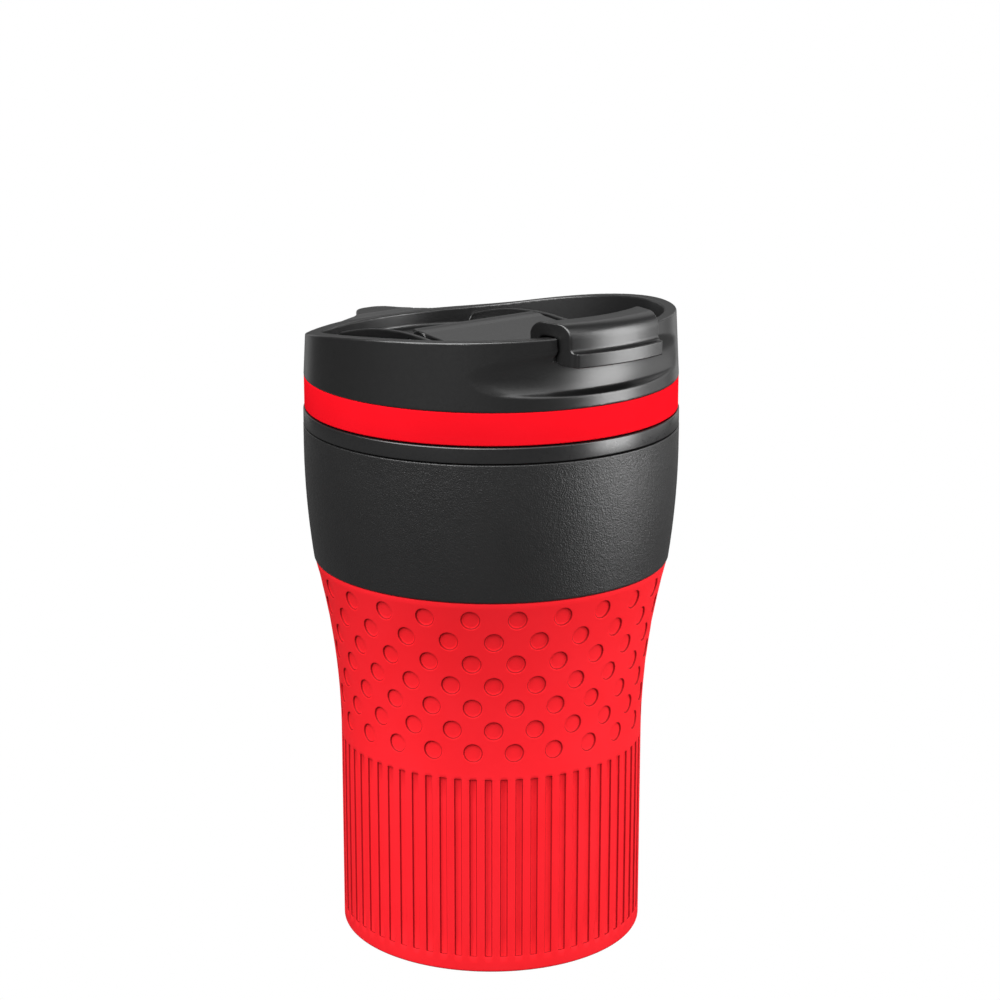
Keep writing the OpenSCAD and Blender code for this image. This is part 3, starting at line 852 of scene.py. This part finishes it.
pin("pin_left", "hinge_pin_left", -PIN_SPAN[1], -PIN_SPAN[0])
pin("pin_right", "hinge_pin_right", *PIN_SPAN)

# the steel parts under the sleeve keep their CAD shape
for name in ("outer_shell", "bottom_plate", "vacuum_cap"):
    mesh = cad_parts[name].data
    mesh.materials.clear()
    mesh.materials.append(shell_steel)

# ---------------------------------------------------------------- floor, lights and camera

def camera_white(tree, shaded, output, kind):
    """Mixes plain white for camera rays with the given shader for all other rays."""
    nodes, links = tree.nodes, tree.links
    path = nodes.new("ShaderNodeLightPath")
    white = nodes.new(kind)
    white.inputs["Color"].default_value = (1, 1, 1, 1)
    white.inputs["Strength"].default_value = 1.0
    mix = nodes.new("ShaderNodeMixShader")
    links.new(path.outputs["Is Camera Ray"], mix.inputs[0])
    links.new(shaded, mix.inputs[1])
    links.new(white.outputs[0], mix.inputs[2])
    links.new(mix.outputs[0], output)


floor_mat = bpy.data.materials.new("floor_white")
floor_mat.use_nodes = True
tree = floor_mat.node_tree
base = tree.nodes["Principled BSDF"]
base.inputs["Base Color"].default_value = (0.095, 0.095, 0.095, 1)
base.inputs["Roughness"].default_value = 0.9
output = tree.nodes["Material Output"].inputs["Surface"]
camera_white(tree, base.outputs[0], output, "ShaderNodeEmission")

FLOOR_HALF = 6.0                                # metres
mesh = bpy.data.meshes.new("floor")
corners = [(a * FLOOR_HALF, b * FLOOR_HALF, 0) for a, b in ((-1, -1), (1, -1), (1, 1), (-1, 1))]
mesh.from_pydata(corners, [], [(0, 1, 2, 3)])
floor = bpy.data.objects.new("floor", mesh)
bpy.context.scene.collection.objects.link(floor)
mesh.materials.append(floor_mat)

world = bpy.data.worlds.new("studio")
bpy.context.scene.world = world
world.use_nodes = True
tree = world.node_tree
soft = tree.nodes["Background"]
soft.inputs["Color"].default_value = (0.14, 0.14, 0.14, 1)
output = tree.nodes["World Output"].inputs["Surface"]
camera_white(tree, soft.outputs[0], output, "ShaderNodeBackground")

CAMERA_AZ, CAMERA_TILT = -38.4, 15.07           # degrees


def around(az, distance, height):
    """A place at an azimuth measured from the camera's own, to its right."""
    a = math.radians(az + CAMERA_AZ)
    return Vector((distance * math.sin(a), -distance * math.cos(a), height))


def softbox(name, az, distance, height, wide, high, aim, power):
    """A soft panel of wide by high metres, turned to the object's axis at the height aim."""
    data = bpy.data.lights.new(name, "AREA")
    data.shape = "RECTANGLE"
    data.size, data.size_y = wide, high
    data.energy = power
    lamp = bpy.data.objects.new(name, data)
    lamp.location = around(az, distance, height)
    lamp.rotation_euler = (lamp.location - Vector((0, 0, aim))).to_track_quat("Z", "Y").to_euler()
    lamp.visible_camera = False
    bpy.context.scene.collection.objects.link(lamp)


softbox("key_side", 76, 0.40, 0.20, 0.20, 0.38, 0.18, 1.55)
softbox("fill_left", -42, 0.93, 1.02, 1.5, 1.2, 0.08, 29.5)
softbox("front_high", 25, 0.80, 1.15, 1.2, 1.0, 0.08, 4.5)
softbox("top_back", 175, 0.55, 0.55, 0.8, 0.4, 0.14, 0.55)
softbox("rim_left", -150, 0.50, 0.16, 0.15, 0.30, 0.12, 0.06)
softbox("side_soft", 112, 0.50, 0.18, 0.32, 0.34, 0.14, 0.25)
softbox("rim_right", 150, 0.50, 0.16, 0.15, 0.30, 0.12, 0.10)

bpy.context.scene.view_settings.view_transform = "Standard"

camera_data = bpy.data.cameras.new("camera")
camera_data.lens = 90.98
camera_data.sensor_width = 36.0
camera_data.shift_x = 0.0088
camera = bpy.data.objects.new("camera", camera_data)
camera.location = around(0, 0.55479, 0.25046)
camera.rotation_euler = (math.radians(90 - CAMERA_TILT), 0, math.radians(CAMERA_AZ))
bpy.context.scene.collection.objects.link(camera)
bpy.context.scene.camera = camera
